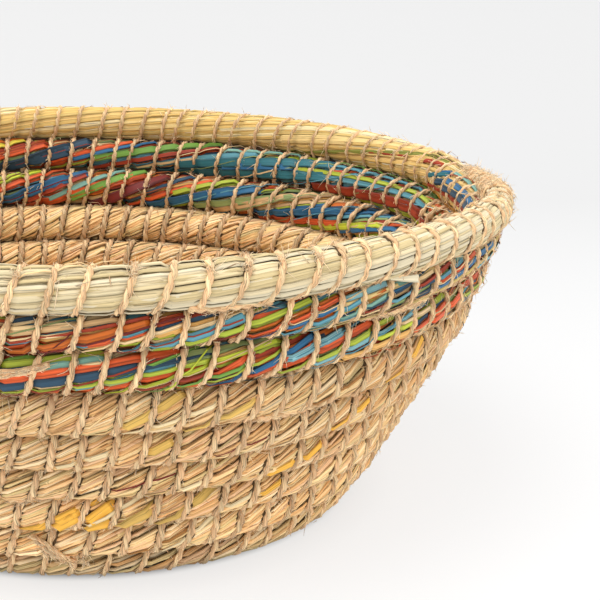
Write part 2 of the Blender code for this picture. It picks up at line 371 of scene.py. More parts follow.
# Strands: grass, straw and dyed blades are all laid on the bundle in the same way. Each starts and ends
# under a tie, which is a stitch or, near the bundle's end, a turn of the whipping.

WHIPPING_TIES = np.arange(0.004, 0.038, 0.0072)
TIES = np.concatenate([WHIPPING_TIES, STITCHES])
TUCK = 0.0025
TUCK_DEPTH = 0.0010
TUCK_NARROWING = 0.3
WAVES = (0.04, 0.09)
FREE_SHARES = (0.27, 0.73)
HEIGHT_SCATTER = 0.00008
WIDTH_SCATTER = 0.08
ROLL_SCATTER = 0.12
GROUND_CLEARANCE = 0.0012
# Painted shade that strands get in the creases, beside the ties and near the ground.
CREASE_SHADE = 0.5
CREASE_NARROWNESS = 6
TIE_SHADE = 0.25
GROUND_SHADE = 0.7
GROUND_SHADE_RISE = 0.0045


def strand(chance, first, last, angle, turning, width, lift=0.0, wander=0.06, pinch=0.0011):
    """One strand on the bundle. It turns round it by so many radians a metre, wanders a little to both
    sides, lies the lift over it and is drawn in by the pinch under each tie. It is painted darker there
    and in the creases: painted shade."""
    phase = chance.uniform(0.0, TURN)
    wave = chance.uniform(*WAVES)
    origin = first

    def angle_at(along):
        return angle - turning * (along - origin) + wander * np.sin(TURN * along / wave + phase)

    nearby = TIES[(TIES > first - 2 * STITCH_PITCH) & (TIES < last + 2 * STITCH_PITCH)]
    marks = nearby
    for _ in range(2):
        marks = nearby + stitch_shift(angle_at(marks))
    marks = np.sort(marks)

    def tied(spot):
        nearest = marks[np.argmin(np.abs(marks - spot))]
        return nearest if abs(nearest - spot) < STITCH_PITCH else spot

    first = max(tied(first) - TUCK / 2, 0.0)
    last = max(tied(last), first + STITCH_PITCH) + TUCK / 2
    steps = np.diff(marks)
    between = np.concatenate([marks[:-1] + steps * share for share in FREE_SHARES])
    spots = np.concatenate([marks, between, (first, last)])
    pinched = np.concatenate([np.ones(len(marks)), np.zeros(len(between) + 2)])
    order = np.argsort(spots)
    spots = spots[order]
    pinched = pinched[order]
    inside = (spots >= first) & (spots <= last)
    spots = spots[inside]
    pinched = pinched[inside]

    middle, out, up, lean, radius = bundle(spots)
    angles = angle_at(spots)
    ends = np.minimum(spots - first, last - spots)
    tucked = 1.0 - np.clip(ends / TUCK, 0.0, 1.0)
    height = radius + lift * (1.0 - tucked) - pinch * pinched - TUCK_DEPTH * tucked
    height = height + chance.normal(0.0, HEIGHT_SCATTER, len(spots))
    points = middle + out * (np.cos(angles) * height)[:, None] + up * (np.sin(angles) * height)[:, None]
    points[:, 2] = np.maximum(points[:, 2], GROUND_CLEARANCE)
    widths = 1.0 + chance.uniform(-WIDTH_SCATTER, WIDTH_SCATTER, len(spots))
    widths = width * (1.0 - TUCK_NARROWING * tucked) * widths
    rolls = angles - lean - math.pi / 2 + chance.normal(0.0, ROLL_SCATTER)
    # Painted shade: darker in the crease below the course, and beside each tie.
    crease = np.where(spots < RIM_LENGTH, np.maximum(-np.sin(angles), 0.0), np.abs(np.sin(angles)))
    painted_shade = (1.0 - CREASE_SHADE * crease ** CREASE_NARROWNESS) * (1.0 - TIE_SHADE * pinched)
    return {"points": points, "widths": widths, "rolls": rolls, "along": spots - first, "painted_shade": painted_shade,
            "inner": np.maximum(-np.cos(angles), 0.0)}


def thread(points, widths, along, colour, rolls=0.0):
    """One strand from its own line. Along is what its grain runs with."""
    level = np.zeros(len(points))
    return {"points": points, "widths": level + widths, "rolls": level + rolls, "along": level + along,
            "colour": colour}


def profile(corners):
    """The section of a strand, one unit wide, which curves are bevelled with."""
    curve = bpy.data.curves.new("strands", "CURVE")
    curve.dimensions = "2D"
    spline = curve.splines.new("POLY")
    spline.points.add(len(corners) - 1)
    for point, (across, height) in zip(spline.points, corners):
        point.co = (across, height, 0.0, 1.0)
    spline.use_cyclic_u = True
    return bpy.data.objects.new("section", curve)


STALK = profile(((-0.5, -0.12), (0.0, 0.30), (0.5, -0.12)))
STRAW = profile(((-0.5, -0.12), (-0.26, 0.12), (0.26, 0.12), (0.5, -0.12)))
BLADE = profile(((-0.5, -0.05), (-0.4, 0.06), (0.4, 0.06), (0.5, -0.05)))
ROUND = profile(((-0.5, 0.0), (0.0, 0.5), (0.5, 0.0), (0.0, -0.5)))
HAIR = profile(((-0.5, -0.29), (0.0, 0.58), (0.5, -0.29)))
CORE_TURNS = np.linspace(0.0, TURN, 12, endpoint=False)
CORE = profile([(0.5 * math.cos(-turn), 0.5 * math.sin(-turn)) for turn in CORE_TURNS])
STREAK_SHIFT = 0.0137
WELD = MILLIMETRE / 1000
SHARP_EDGE = math.radians(40.0)


def linear(code):
    """A colour code as it is written on a swatch, turned into the light that it sends back."""
    parts = [int(code[start:start + 2], 16) / 255 for start in (0, 2, 4)]
    light = [part / 12.92 if part <= 0.04045 else ((part + 0.055) / 1.055) ** 2.4 for part in parts]
    return np.array(light)


def sheaf(strands, section, finish, twist="Z_UP", sharp=False, inner_shade=0.08):
    """One closed mesh from many strands, with each one's colour and grain kept on its points. Painted
    shade goes into the colour: the inner shade paints what faces into the bowl darker, and below nought
    lighter, and what lies near the ground is painted dark as its shadow."""
    curve = bpy.data.curves.new("strands", "CURVE")
    curve.dimensions = "3D"
    curve.twist_mode = twist
    curve.bevel_mode = "OBJECT"
    curve.bevel_object = section
    curve.use_fill_caps = True
    for run in strands:
        count = len(run["points"])
        spline = curve.splines.new("POLY")
        spline.points.add(count - 1)
        places = np.column_stack([run["points"], np.ones(count)])
        spline.points.foreach_set("co", places.ravel())
        spline.points.foreach_set("radius", run["widths"])
        spline.points.foreach_set("tilt", run["rolls"])
    holder = placed("strands", curve)
    evaluated = holder.evaluated_get(bpy.context.evaluated_depsgraph_get())
    mesh = bpy.data.meshes.new_from_object(evaluated)
    bpy.data.objects.remove(holder)
    bpy.data.curves.remove(curve)

    corners = len(section.data.splines[0].points)
    sides = np.array([point.co[:2] for point in section.data.splines[0].points]) * 2
    caps = []
    rings = []
    for number, run in enumerate(strands):
        painted_shade = run.get("painted_shade", 1.0) * (1.0 - inner_shade * run.get("inner", 0.0))
        # Painted shadow on whatever lies near the ground.
        low = np.clip(1.0 - run["points"][:, 2] / GROUND_SHADE_RISE, 0.0, 1.0)
        painted_shade = painted_shade * (1.0 - GROUND_SHADE * low)
        colours = np.broadcast_to(run["colour"], (len(run["points"]), 3)) * np.reshape(painted_shade, (-1, 1))
        streak = run["along"] + number * STREAK_SHIFT
        values = np.repeat(np.column_stack([colours, streak]), corners, axis=0)
        values = np.column_stack([values, np.tile(sides, (len(colours), 1))])
        rings.append(values)
        caps.append(values[:corners])
        caps.append(values[-corners:])
    values = np.concatenate(caps + rings)
    tone = mesh.attributes.new("tone", "FLOAT_COLOR", "POINT")
    tone.data.foreach_set("color", np.column_stack([values[:, :3], np.ones(len(values))]).ravel())
    grain = mesh.attributes.new("grain", "FLOAT_VECTOR", "POINT")
    grain.data.foreach_set("vector", values[:, 3:].ravel())

    shape = bmesh.new()
    shape.from_mesh(mesh)
    bmesh.ops.remove_doubles(shape, verts=shape.verts, dist=WELD)
    shape.to_mesh(mesh)
    shape.free()
    mesh.shade_smooth()
    if sharp:
        mesh.set_sharp_from_angle(angle=SHARP_EDGE)
    mesh.materials.clear()
    mesh.materials.append(finish)
    return placed("strands", mesh)


def join(name, parts):
    """Several finished meshes made one piece."""
    with bpy.context.temp_override(active_object=parts[0], selected_editable_objects=parts):
        bpy.ops.object.join()
    parts[0].name = name
    parts[0].data.name = name
    return parts[0]


EDGE_NARROWNESS = 3.0
SPLITS = {"From Min": 0.35, "From Max": 0.45, "To Min": 0.62}
GRAIN_DEPTH = 0.0003


def fibre_finish(name, roughness, grain_scale, contrast, edge_shade, bump):
    """Fibres that take each strand's own colour, streaked along it, and painted darker down its edges as
    the shade between strands.
    """
    finish = Finish(name, roughness)
    tone = finish.node("ShaderNodeAttribute", {"attribute_name": "tone"}, {}, "Color")
    grain = finish.node("ShaderNodeAttribute", {"attribute_name": "grain"}, {}, "Vector")
    stretched = finish.node("ShaderNodeVectorMath", {"operation": "MULTIPLY"}, {0: grain, 1: grain_scale})
    noise = {"Vector": stretched, "Scale": 1.0, "Detail": 3.0, "Roughness": 0.65}
    streaks = finish.node("ShaderNodeTexNoise", {}, noise)
    across = abs(finish.node("ShaderNodeSeparateXYZ", {}, {0: grain}, "Y"))
    shade = 1.0 - edge_shade * across ** EDGE_NARROWNESS
    split = finish.node("ShaderNodeMapRange", {}, {"Value": streaks, **SPLITS})
    light = ((streaks - 0.5) * contrast + 1.0) * shade * split
    finish.feed(finish.shader.inputs["Base Color"], finish.scaled(tone, light))
    relief = {"Strength": bump, "Distance": GRAIN_DEPTH, "Height": streaks}
    finish.feed(finish.shader.inputs["Normal"], finish.node("ShaderNodeBump", {}, relief))
    return finish.material


grass_finish = fibre_finish("dry_grass", roughness=0.7, grain_scale=(40.0, 2.4, 2.4), contrast=1.2,
                            edge_shade=0.38, bump=0.5)

GRASS_TONES = [linear(code) for code in ("F8D59C", "F0C68C", "FCDFB0", "ECC78A", "F6C88E",
                                         "EAB87C", "FAD79C", "F2C494", "E8CC90", "E4B074")]
GRASS_SHADOW = "C8A26C"
LANE_SHIFT = 0.02
LANE_ANGLE_SCATTER = 0.04
LANE_HEIGHT_SCATTER = 0.00018


def cover(chance, first, last, lanes, lay, widths, lengths, tones, lift=0.0, uneven=0.0, wander=0.06,
          pinch=0.0011, shades=(0.82, 1.10)):
    """Strands side by side right round the bundle, each followed by the next in its lane. The lay is
    the length of bundle in which a lane goes once round it."""
    laid = []
    for lane in range(lanes):
        start = first + chance.uniform(-LANE_SHIFT, LANE_SHIFT) if first > 0.0 else first
        while start < last:
            end = start + chance.uniform(*lengths)
            turning = TURN / lay * (1.0 + chance.uniform(-uneven, uneven))
            angle = TURN * (lane / lanes - start / lay) + chance.normal(0.0, LANE_ANGLE_SCATTER)
            high = lift + chance.normal(0.0, LANE_HEIGHT_SCATTER)
            width = chance.uniform(*widths)
            run = strand(chance, start, end, angle, turning, width, high, wander, pinch)
            tone = tones[chance.integers(len(tones))]
            run["colour"] = tone * chance.uniform(*shades)
            laid.append(run)
            start = end
    return laid


OUTSIDE = (-50.0, 75.0)
INSIDE = (260.0, 110.0)
BLADE_STEP = 0.00008
BLADE_STEPS = 6
BLADE_SHADES = (0.95, 1.12)


def single(chance, row, side, colours, blades, lift=0.0007, pinch=0.0011, spread=1.0):
    """Blades listed one by one: each one's dye and width in millimetres, then the bearing in degrees of
    each end and its level on that side of the course, from 0 at the bottom to 100 at the top. They lie in
    steps, one a little over the other."""
    laid = []
    for dye, width, *ends in blades:
        runs = []
        for bearing, level in (ends[:2], ends[2:]):
            runs.append((place(row, bearing), math.radians(side[0] + (side[1] - side[0]) * (level / 100))))
        (first, angle), (last, last_angle) = sorted(runs)
        turning = (angle - last_angle) / (last - first)
        level = lift + BLADE_STEP * (len(laid) % BLADE_STEPS)
        run = strand(chance, first, last, angle, turning, width * spread * MILLIMETRE, level, 0.0, pinch)
        run["colour"] = linear(colours[dye]) * chance.uniform(*BLADE_SHADES)
        laid.append(run)
    return laid


# The crease below each course is filled with a dark strand: painted shadow.
CORE_STEP = 0.006
CREASE_FILL = 0.0016
CREASE_SHADOW_COLOUR = "5A4028"


def core(first, last, colour, depth=0.0014):
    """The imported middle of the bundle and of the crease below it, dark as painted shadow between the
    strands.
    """
    spots = np.linspace(first, last, int((last - first) / CORE_STEP) + 2)
    middle, _, up, lean, radius = bundle(spots)
    crease = middle - up * (radius + SURFACE_GAP)[:, None]
    fill = np.full(len(spots), CREASE_FILL)
    runs = []
    for points, size, shade in ((middle, radius - depth, colour), (crease, fill, CREASE_SHADOW_COLOUR)):
        points[:, 2] = np.maximum(points[:, 2], size + GROUND_CLEARANCE)
        runs.append(thread(points, 2 * size, spots, linear(shade), -lean))
    return sheaf(runs, CORE, grass_finish)


# Twine
# Two plies of jute laid together. One length goes round and round its course in an open spiral, and at
# the bottom of each wrap it bites into the course below, which is what holds the bowl together.

twine_finish = fibre_finish("jute_twine", roughness=0.95, grain_scale=(160.0, 3.2, 3.2), contrast=2.4,
                            edge_shade=0.0, bump=0.8)

PLY_WIDTH = 0.00145
PLY_OFFSET = 0.00040
PLY_PITCH = 0.0065
TWINE_STEP = 0.0012
TWINE_PROUD = 0.00005
BITE_ANGLES = np.radians((-90.0, -65.0, 245.0, 270.0))
BITE_DEPTHS = np.array((0.0016, 0.0, 0.0, 0.0016))
TWINE_TONES = [linear(code) for code in ("F8D6A6", "ECC294", "FCE2BC")]
TWINE_GROUND = 0.00115
WRAP_RADIUS = 0.0068
SLANTS = (-0.35, 0.45)
SLUB_SIZE = 0.16
SLUB_RATE = 900.0
SLUB_SCATTER = (0.3, 1.0)
SHADE_SIZE = 0.10
SHADE_RATE = 60.0


def wraps(chance, first, last, step, leaning):
    """The twine's middle line, stitch by stitch, with the ways out of and along the bundle."""
    own = STITCHES[(STITCHES >= first) & (STITCHES < last)][::-1]
    turns = []
    places = []
    for number, stitch in enumerate(own):
        slant = leaning + chance.uniform(*SLANTS)
        for angle, shift in zip(STITCH_ANGLES[1:-1], STITCH_SHIFTS[1:-1]):
            turns.append(number * TURN + angle)
            places.append(stitch + shift * slant)
    turns = np.array(turns)
    places = np.array(places)
    count = int(len(own) * (TURN * WRAP_RADIUS) / step)
    angles = np.linspace(turns[0], turns[-1], count)
    spots = np.interp(angles, turns, places)
    middle, out, up, _, radius = bundle(spots)
    reach = radius + TWINE_PROUD + np.interp(from_below(angles), BITE_ANGLES, BITE_DEPTHS)
    outward = outwards(out, up, angles)
    return middle + outward * reach[:, None], outward, np.cross(out, up), spots


def plies(chance, line, outward, sideways, size=1.0, light=1.0):
    """The two plies of a twine that follows a line."""
    steps = np.linalg.norm(np.diff(line, axis=0), axis=1)
    along = np.concatenate([[0.0], np.cumsum(steps)])
    size = np.broadcast_to(size, len(line))
    radial = line[:, :2] / np.linalg.norm(line[:, :2], axis=1)[:, None]
    inner = np.maximum(-np.sum(outward[:, :2] * radial, axis=1), 0.0)
    made = []
    for ply in range(2):
        twist = TURN * along / PLY_PITCH + math.pi * ply
        offset = outward * np.cos(twist)[:, None] + sideways * np.sin(twist)[:, None]
        points = line + offset * (PLY_OFFSET * size)[:, None]
        points[:, 2] = np.maximum(points[:, 2], TWINE_GROUND)
        slubs = SLUB_SIZE * np.sin(along * SLUB_RATE + ply) * chance.uniform(*SLUB_SCATTER, len(line))
        shade = 1.0 + SHADE_SIZE * np.sin(along * SHADE_RATE + ply)
        tone = TWINE_TONES[ply] * light * shade[:, None]
        made.append(thread(points, PLY_WIDTH * size * (1.0 + slubs), along, tone))
        made[-1]["inner"] = inner
    return made


HAIR_WIDTH = 0.00015
HAIR_LENGTHS = (0.0006, 0.0026)
HAIR_SHARES = np.array((0.0, 0.5, 1.0))[:, None]
HAIR_TAPER = np.array((1.4, 1.0, 0.4))
HAIR_ROOT = 0.0011
HAIR_GROUND = 0.0002
HAIR_ONWARD = 0.9
HAIR_REACH = 0.8
LEAST_AWAY = 0.1
HAIR_CURL = 0.12
STANDING_CURL = 0.28
STANDING = (0.3, 1.2)
HAIRS_PER_STITCH = 30
FRAYS = 340.0


def hairs(chance, line, outward, sideways, count, lights=(0.75, 1.0, 1.2, 1.4)):
    """Loose fibres of the twine. Half of them lie close along it and half stand off."""
    made = []
    for number in range(count):
        root = chance.integers(1, len(line) - 1)
        onward = line[root + 1] - line[root - 1]
        onward = onward / np.linalg.norm(onward) * chance.choice((-1.0, 1.0))
        away = outward[root] * chance.uniform(0.0, 1.0) + sideways[root] * chance.uniform(-1.0, 1.0)
        away = away / max(np.linalg.norm(away), LEAST_AWAY)
        stands = number % 2
        curl = chance.normal(0.0, HAIR_CURL + STANDING_CURL * stands, 3)
        length = chance.uniform(*HAIR_LENGTHS)
        rise = away * HAIR_SHARES * chance.uniform(*STANDING) * stands
        path = onward * HAIR_SHARES * HAIR_ONWARD + rise + curl * HAIR_SHARES ** 2
        points = line[root] + away * HAIR_ROOT + path * length * HAIR_REACH
        points[:, 2] = np.maximum(points[:, 2], HAIR_GROUND)
        tone = TWINE_TONES[2] * chance.choice(lights)
        made.append(thread(points, HAIR_WIDTH * HAIR_TAPER, HAIR_SHARES[:, 0] * length, tone))
    return made


TUFT_HAIRS = 18
TUFT_TAPER = np.array((1.3, 1.1, 0.5))
TUFT_ROOT = 0.0008
TUFT_PATCH = 0.0006
TUFT_RISE = 0.8
TUFT_SPREAD = 0.6
TUFT_CURL = 0.3
TUFT_LENGTHS = (0.0010, 0.0028)
TUFT_LIGHT = 1.25
GRAIN_STEP = 0.002


def tuft(chance, row, bearing, angle):
    """A frayed spot of the twine, where a fan of fibres stands up."""
    turned = math.radians(angle)
    marks = STITCHES + stitch_shift(turned)
    nearest = marks[np.argmin(np.abs(marks - place(row, bearing)))]
    middle, out, up, _, radius = bundle(np.array([nearest]))
    outward = out[0] * math.cos(turned) + up[0] * math.sin(turned)
    root = middle[0] + outward * (radius[0] + TUFT_ROOT)
    made = []
    for _ in range(TUFT_HAIRS):
        away = outward * TUFT_RISE + chance.normal(0.0, TUFT_SPREAD, 3)
        path = away * HAIR_SHARES + chance.normal(0.0, TUFT_CURL, 3) * HAIR_SHARES ** 2
        points = root + chance.normal(0.0, TUFT_PATCH, 3) + path * chance.uniform(*TUFT_LENGTHS)
        tone = TWINE_TONES[2] * TUFT_LIGHT
        made.append(thread(points, HAIR_WIDTH * TUFT_TAPER, HAIR_SHARES[:, 0] * GRAIN_STEP, tone))
    return made


LOOSE_POINTS = 10
LOOSE_SMOOTHING = 6


def loose(row, stops):
    """The line of a loose end, through stops: bearing, angle round the course, millimetres over it."""
    stops = np.array(stops, dtype=float)
    marks = np.arange(len(stops))
    fine = np.linspace(0.0, len(stops) - 1.0, LOOSE_POINTS * len(stops))
    bearings, angles, heights = (np.interp(fine, marks, column) for column in stops.T)
    spots = np.array([place(row, bearing) for bearing in bearings])
    middle, out, up, _, radius = bundle(spots)
    outward = outwards(out, up, np.radians(angles))
    points = middle + outward * (radius + heights * MILLIMETRE)[:, None]
    for _ in range(LOOSE_SMOOTHING):
        points[1:-1] = (points[:-2] + 2 * points[1:-1] + points[2:]) / 4
    return points, outward, np.cross(out, up)


WISP_ANGLES = (-62.0, 68.0, 112.0, 248.0)
WISP_SCATTER = 14.0
WISP_LENGTHS = (0.003, 0.008)
WISP_WIDTHS = (0.00012, 0.0004)
WISP_TAPER = np.array((1.0, 1.0, 0.4))
WISP_RISES = (0.05, 0.35)
WISP_HEIGHTS = (0.0001, 0.0008)
WISP_ROOT_SHARE = 0.4
WISP_TURN = 0.8
WISP_BEND = 0.3
WISP_LIGHTS = (0.45, 0.9, 1.1)


def wisps(chance, first, last, count, tones):
    """Short fine fibres that stick out of the creases, every way."""
    share = HAIR_SHARES - WISP_ROOT_SHARE
    roots = chance.uniform(first, last, count)
    sides = np.radians(chance.choice(WISP_ANGLES, count) + chance.normal(0.0, WISP_SCATTER, count))
    middle, out, up, _, radius = bundle(roots)
    outward = outwards(out, up, sides)
    onward = np.cross(out, up)
    across = np.cross(onward, outward)
    made = []
    for number in range(count):
        turned = chance.normal(0.0, WISP_TURN)
        heading = onward[number] * math.cos(turned) * chance.choice((-1.0, 1.0))
        heading = heading + across[number] * math.sin(turned)
        length = chance.uniform(*WISP_LENGTHS)
        rise = outward[number] * chance.uniform(*WISP_RISES)
        root = middle[number] + outward[number] * (radius[number] + chance.uniform(*WISP_HEIGHTS))
        bend = outward[number] * share ** 2 * length * WISP_BEND
        points = root + (heading + rise) * share * length - bend
        points[:, 2] = np.maximum(points[:, 2], GROUND_CLEARANCE)
        widths = chance.uniform(*WISP_WIDTHS) * WISP_TAPER
        tone = tones[chance.integers(len(tones))] * chance.choice(WISP_LIGHTS)
        made.append(thread(points, widths, HAIR_SHARES[:, 0] * length, tone))
    return made


# Painted shadow: dark strands beside the twine where it presses into the straw.
PIT_OFFSET = 0.00120
PIT_DEPTH = 0.00015
PIT_WIDTHS = (0.0002, 0.0011)
PIT_STEP = 3
PIT_FADE = 0.05
PIT_SHARES = (0.2, 1.0)
PIT_SHADOW_COLOUR = linear("5C4830")


def pit_shadows(chance, line, outward, sideways, spots, last):
    """Dark strands along both sides of the twine up to the last spot: painted shadow in the hollow
    that the twine has pressed into stiff straw.
    """
    made = []
    kept = spots < last
    for side in (-1.0, 1.0):
        points = (line + sideways * PIT_OFFSET * side - outward * PIT_DEPTH)[kept][::PIT_STEP]
        fade = np.clip((last - spots[kept][::PIT_STEP]) / PIT_FADE, *PIT_SHARES)
        widths = chance.uniform(*PIT_WIDTHS, len(points)) * fade
        made.append(thread(points, widths, np.arange(len(points)) * GRAIN_STEP, PIT_SHADOW_COLOUR))
    return made


def sew(name, node, seed, first, last, fuzz=HAIRS_PER_STITCH, tufts=(), runs=(), step=TWINE_STEP,
        sizes=((0.0,), (1.0,)), leaning=1.0, inner_shade=0.25, pit_shadows_to=0.0, light=1.0):
    """The stitching of one course, with its frayed spots and the loose runs of twine beside it. The
    sizes say how thick the twine is along the bundle. Up to a given spot, dark strands beside the twine
    paint the shadow in the hollows it lies in, and a light below one is painted shade on the twine."""
    chance = np.random.default_rng(seed)
    line, outward, sideways, spots = wraps(chance, first, last, step, leaning)
    strands = plies(chance, line, outward, sideways, np.interp(spots, *sizes), light)
    loops = wisps(chance, first, last, int(FRAYS * (last - first)), TWINE_TONES)
    loops += hairs(chance, line, outward, sideways, int(fuzz * (last - first) / STITCH_PITCH))
    for row, stops in runs:
        path = loose(row, stops)
        strands += plies(chance, *path)
        loops += hairs(chance, *path, count=2 * len(path[0]), lights=(1.0, 1.2, 1.4))
    if pit_shadows_to > 0.0:
        strands += pit_shadows(chance, line, outward, sideways, spots, pit_shadows_to)
    for spot in tufts:
        loops += tuft(chance, *spot)
    cord = sheaf(strands, ROUND, twine_finish, "MINIMUM", inner_shade=inner_shade)
    made = join(name, [cord, sheaf(loops, HAIR, twine_finish)])
    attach(made, "root")
    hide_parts(node)


# Start knot
# A small ball of grass round which the bundle is first bent, flat underneath where it rests. A few
# stitches of twine cross its top and bottom and tie it to the first turn.

KNOT_HEIGHT = 0.0058
KNOT_PROUD = 0.0002
KNOT_LEVELS = np.radians(np.linspace(-82.0, 82.0, 60))
KNOT_SLOPE = 0.08
KNOT_SWEEPS = (3.0, 6.0)
KNOT_POINTS = 16
KNOT_STALK = 0.0013
BAND_LEVELS = np.radians((-34.0, -22.0, -10.0, 2.0, 14.0, 24.0))
BAND_PROUD = np.array((0.0013, 0.0013, 0.0))
BAND_SWEEP = 6.2
BAND_POINTS = 24
BAND_STALK = 0.0016
BAND_LIGHT = 0.7
KNOT_STITCHES = 9
KNOT_STITCH_LEVELS = np.radians(np.linspace(86.0, -86.0, 30))
KNOT_STITCH_TURN = 0.2
KNOT_STITCH_PROUD = 0.0003
KNOT_CORE_LEVELS = np.radians(np.linspace(-60.0, 70.0, 9))
KNOT_CORE_DEPTH = 0.0012
KNOT_CORE_INSET = 0.0010
knot_size = np.array((KNOT_RADIUS + KNOT_PROUD, KNOT_RADIUS + KNOT_PROUD, KNOT_HEIGHT))
knot_middle = np.array((0.0, 0.0, FLOOR_MIDDLE))
knot_chance = np.random.default_rng(3)


def knot_line(levels, sweep, size):
    """A line over the knot, through places given by their level and their turn round it."""
    east = np.cos(levels) * np.cos(sweep)
    north = np.cos(levels) * np.sin(sweep)
    outward = np.stack([east, north, np.sin(levels)], axis=1)
    points = outward * size + knot_middle
    points[:, 2] = np.maximum(points[:, 2], GROUND_CLEARANCE)
    return points, outward


def knot_ring(level, slope, length, count, size, width, tone):
    """A stalk that is wound round the knot at about one level."""
    sweep = np.linspace(0.0, length, count) + knot_chance.uniform(0.0, TURN)
    ring, _ = knot_line(level + np.linspace(-slope, slope, count), sweep, size)
    return thread(ring, width, sweep * KNOT_RADIUS, tone)


knot_strands = []
for number, level in enumerate(KNOT_LEVELS):
    length = knot_chance.uniform(*KNOT_SWEEPS)
    tone = GRASS_TONES[number % len(GRASS_TONES)]
    knot_strands.append(knot_ring(level, KNOT_SLOPE, length, KNOT_POINTS, knot_size, KNOT_STALK, tone))
band_size = knot_size + BAND_PROUD
for number, level in enumerate(BAND_LEVELS):
    tone = GRASS_TONES[number] * BAND_LIGHT
    knot_strands.append(knot_ring(level, 0.0, BAND_SWEEP, BAND_POINTS, band_size, BAND_STALK, tone))
knot_sewing = []
for turn in np.linspace(0.0, TURN, KNOT_STITCHES, endpoint=False):
    sweep = np.full(len(KNOT_STITCH_LEVELS), turn + KNOT_STITCH_TURN)
    line, outward = knot_line(KNOT_STITCH_LEVELS, sweep, knot_size + KNOT_STITCH_PROUD)
    sideways = np.cross(outward, np.gradient(line, axis=0))
    sideways = sideways / np.linalg.norm(sideways, axis=1)[:, None]
    knot_sewing += plies(knot_chance, line, outward, sideways)
core_heights = np.sin(KNOT_CORE_LEVELS) * (KNOT_HEIGHT - KNOT_CORE_DEPTH)
core_points = knot_middle + np.outer(core_heights, (0.0, 0.0, 1.0))
core_widths = 2 * np.cos(KNOT_CORE_LEVELS) * (KNOT_RADIUS - KNOT_CORE_INSET)
knot_core = thread(core_points, core_widths, KNOT_CORE_LEVELS * KNOT_RADIUS, linear(GRASS_SHADOW))
start_knot = join("start_knot_grass", [sheaf(knot_strands, ROUND, grass_finish, "MINIMUM"),
                                       sheaf([knot_core], CORE, grass_finish, "MINIMUM"),
                                       sheaf(knot_sewing, ROUND, twine_finish, "MINIMUM")])
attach(start_knot, "root")
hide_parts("start_knot")


# Floor
# The same bundle wound flat round the knot, pressed down where the bowl stands on it.

floor_first = along_at(WALL_COURSES)
floor_chance = np.random.default_rng(21)
floor_core = core(floor_first, BUNDLE_LENGTH, GRASS_SHADOW)
floor_grass = cover(floor_chance, floor_first, BUNDLE_LENGTH, lanes=24, lay=0.100,
                    widths=(0.0013, 0.0022), lengths=(0.05, 0.12), tones=GRASS_TONES)
floor_coil = join("floor_grass", [floor_core, sheaf(floor_grass, STALK, grass_finish)])
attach(floor_coil, "root")
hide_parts("base_coil")
sew("floor_stitching", "twine_base", seed=31, first=floor_first, last=BUNDLE_LENGTH - 0.005, fuzz=10,
    step=0.0018)


# Natural courses of the wall
# Five courses of loosely twisted dry grass, with the odd stalk lying across the others and a few
# golden and brown blades among them.

GRASS_BLADES = {"gold": "F2B648", "ochre": "DDB45E", "straw": "EED6A6", "rust": "7E2A22",
                "brown": "A8743C"}
LAID_GRASS = {
    1: (("straw", 1.6, -97, 30, -88, 80), ("brown", 1.0, -84, 20, -75, 70),
        ("straw", 1.4, -79, 20, -71, 80)),
    2: (("gold", 3.4, -103, 0, -91.5, 80), ("gold", 3.6, -98, 10, -90, 90),
        ("gold", 3.4, -95, 0, -86, 55), ("gold", 3.6, -93, 30, -86, 95),
        ("ochre", 3.6, -88.5, 10, -80.5, 75), ("straw", 1.2, -91, 40, -82, 100),
        ("gold", 1.2, -95, 55, -88, 100), ("ochre", 3.0, -79, 30, -72, 90),
        ("straw", 1.8, -72, 30, -63, 70), ("gold", 1.8, -66, 40, -58, 80)),
    3: (("gold", 2.4, -65, 10, -58, 60), ("rust", 0.5, -86, 50, -76, 80),
        ("straw", 1.6, -80, 20, -72, 60), ("gold", 2.0, -60, 30, -53, 80)),
    4: (("straw", 1.8, -95, 30, -86, 70), ("rust", 0.5, -73, 30, -65, 60),
        ("gold", 2.0, -55, 30, -48, 70), ("ochre", 2.2, -84, 50, -77, 90)),
    5: (("gold", 2.2, -47, 20, -40, 80), ("straw", 1.4, -86, 20, -76, 60),
        ("brown", 1.2, -62, 20, -54, 60), ("ochre", 2.4, -86, 40, -79, 90),
        ("ochre", 2.0, -79, 5, -72, 50)),
}
FRAYED_SPOTS = {
    1: ((7, -95, -15), (7, -93, -30)),
    4: ((4, -72, 65),),
    5: ((3, -99, 70), (3, -83, 75), (3, -74, 70)),
}
LOOSE_TWINE = {
    1: ((7, ((-100, 40, 0.6), (-98, 10, 1.2), (-95, -20, 1.6), (-94, -35, 2.2))),
        (7, ((-101, 48, 0.6), (-98, 28, 1.4), (-96, 0, 1.8), (-95, -20, 1.2)))),
    3: ((5, ((-103, -45, 0.6), (-101, -58, 1.0), (-98, -70, 0.8))),),
    5: ((3, ((-69, -30, 1.0), (-64, -45, 0.8), (-58, -60, 0.8), (-53, -70, 0.3))),),
}
# The lower courses are painted lighter step by step, as painted light, and their twine darker, as painted
# shade.
LIGHT_LOWEST = 1.18
LIGHT_STEP = 0.05
STRAY_STALKS = 420
NATURAL_COURSES = 5

